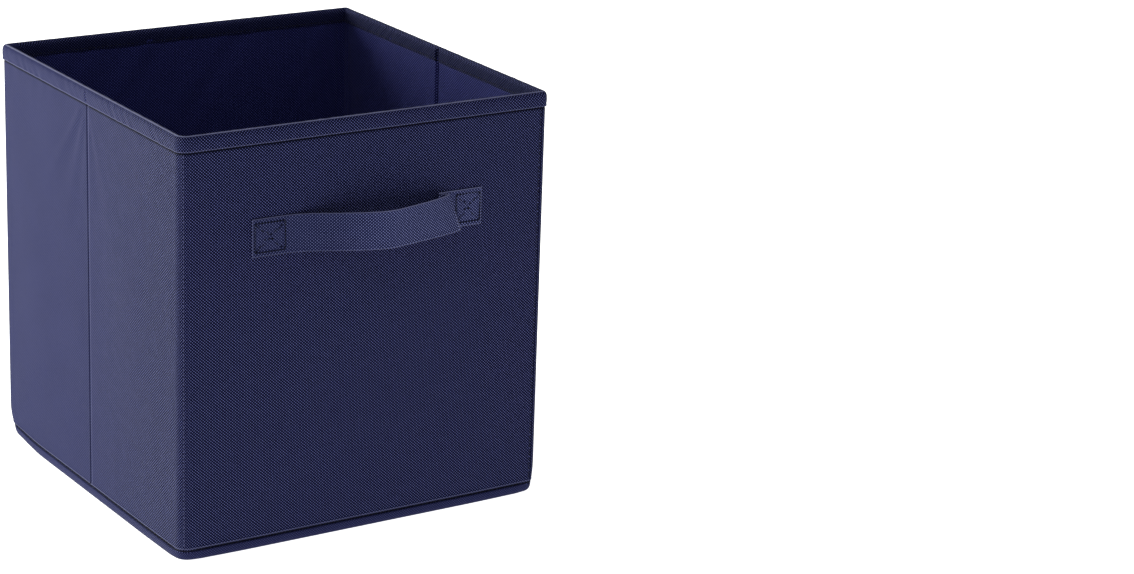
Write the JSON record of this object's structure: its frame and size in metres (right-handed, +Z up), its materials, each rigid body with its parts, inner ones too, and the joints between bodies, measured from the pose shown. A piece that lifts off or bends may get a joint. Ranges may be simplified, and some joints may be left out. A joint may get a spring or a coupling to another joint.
{
  "type": "fabric storage bin",
  "caption": "Collapsible open-top fabric cube with stiffened walls, bound rim, centre-creased folding sides, loose base insert and a sewn strap handle on the front.",
  "frame": {"origin": "on the floor, under the centre of the four walls", "axes": "+Z up; the wall with the handle faces -Y; +X to the right seen from the front"},
  "size_m": [0.267, 0.2882, 0.279],
  "materials": {
    "outer_fabric": "embossed non-woven, soft satin",
    "lining": "embossed non-woven, matt",
    "binding": "embossed non-woven, folded and pressed",
    "floor_fabric": "embossed non-woven, matt",
    "insert_cover": "embossed non-woven, matt",
    "strap": "embossed non-woven, folded double",
    "thread": "twisted polyester",
    "board": "uncoated grey board"
  },
  "bodies": {
    "back": {"back_outer_fabric": "outer_fabric", "back_board": "board", "back_lining": "lining", "back_rim_binding": "binding", "back_foot_binding": "binding", "floor_fabric": "floor_fabric"},
    "left_rear": {"left_rear_outer_fabric": "outer_fabric", "left_rear_board": "board", "left_rear_lining": "lining", "left_rear_rim_binding": "binding", "left_rear_foot_binding": "binding"},
    "left_front": {"left_front_outer_fabric": "outer_fabric", "left_front_board": "board", "left_front_lining": "lining", "left_front_rim_binding": "binding", "left_front_foot_binding": "binding"},
    "front": {"front_outer_fabric": "outer_fabric", "front_board": "board", "front_lining": "lining", "front_rim_binding": "binding", "front_foot_binding": "binding", "handle_stitching_left": "thread", "handle_stitching_right": "thread"},
    "right_rear": {"right_rear_outer_fabric": "outer_fabric", "right_rear_board": "board", "right_rear_lining": "lining", "right_rear_rim_binding": "binding", "right_rear_foot_binding": "binding"},
    "right_front": {"right_front_outer_fabric": "outer_fabric", "right_front_board": "board", "right_front_lining": "lining", "right_front_rim_binding": "binding", "right_front_foot_binding": "binding"},
    "closing_seam": {"closing_seam_tape": "lining"},
    "insert": {"insert_board": "board", "insert_cover_lower": "insert_cover", "insert_cover_upper": "insert_cover"},
    "handle": {"handle_strap": "strap"}
  },
  "joints": [
    {"name": "left_rear_fold", "type": "hinge", "parent": "back", "child": "left_rear", "pos_m": [-0.1274, 0.1274, 0], "axis": [0, 0, 1], "range_deg": [0, 88], "deforming": ["back_foot_binding", "left_rear_foot_binding", "left_front_foot_binding", "front_foot_binding", "right_rear_foot_binding", "right_front_foot_binding", "floor_fabric"]},
    {"name": "left_front_fold", "type": "hinge", "parent": "left_rear", "child": "left_front", "pos_m": [-0.1338, 0, 0], "axis": [0, 0, 1], "range_deg": [-176, 0]},
    {"name": "front_fold", "type": "hinge", "parent": "left_front", "child": "front", "pos_m": [-0.1274, -0.1274, 0], "axis": [0, 0, 1], "range_deg": [0, 88]},
    {"name": "right_rear_fold", "type": "hinge", "parent": "back", "child": "right_rear", "pos_m": [0.1274, 0.1274, 0], "axis": [0, 0, 1], "range_deg": [-88, 0]},
    {"name": "right_front_fold", "type": "hinge", "parent": "right_rear", "child": "right_front", "pos_m": [0.1338, 0, 0], "axis": [0, 0, 1], "range_deg": [0, 176]},
    {"name": "closing_seam_fold", "type": "hinge", "parent": "front", "child": "closing_seam", "pos_m": [0.1274, -0.1274, 0], "axis": [0, 0, 1], "range_deg": [0, 88]},
    {"name": "insert_lift", "type": "slide", "parent": "back", "child": "insert", "axis": [0, 0, 1], "range_m": [0, 0.3]},
    {"name": "handle_swing", "type": "hinge", "parent": "front", "child": "handle", "pos_m": [0, -0.1335, 0.2085], "axis": [1, 0, 0], "range_deg": [-35, 35], "stiffness_Nm_per_rad": 0.02, "deforming": ["handle_strap"]}
  ],
  "couplings": [
    {"joint": "left_front_fold", "follows": "left_rear_fold", "ratio": -2},
    {"joint": "front_fold", "follows": "left_rear_fold", "ratio": 1},
    {"joint": "right_rear_fold", "follows": "left_rear_fold", "ratio": -1},
    {"joint": "right_front_fold", "follows": "left_rear_fold", "ratio": 2},
    {"joint": "closing_seam_fold", "follows": "left_rear_fold", "ratio": 1}
  ]
}
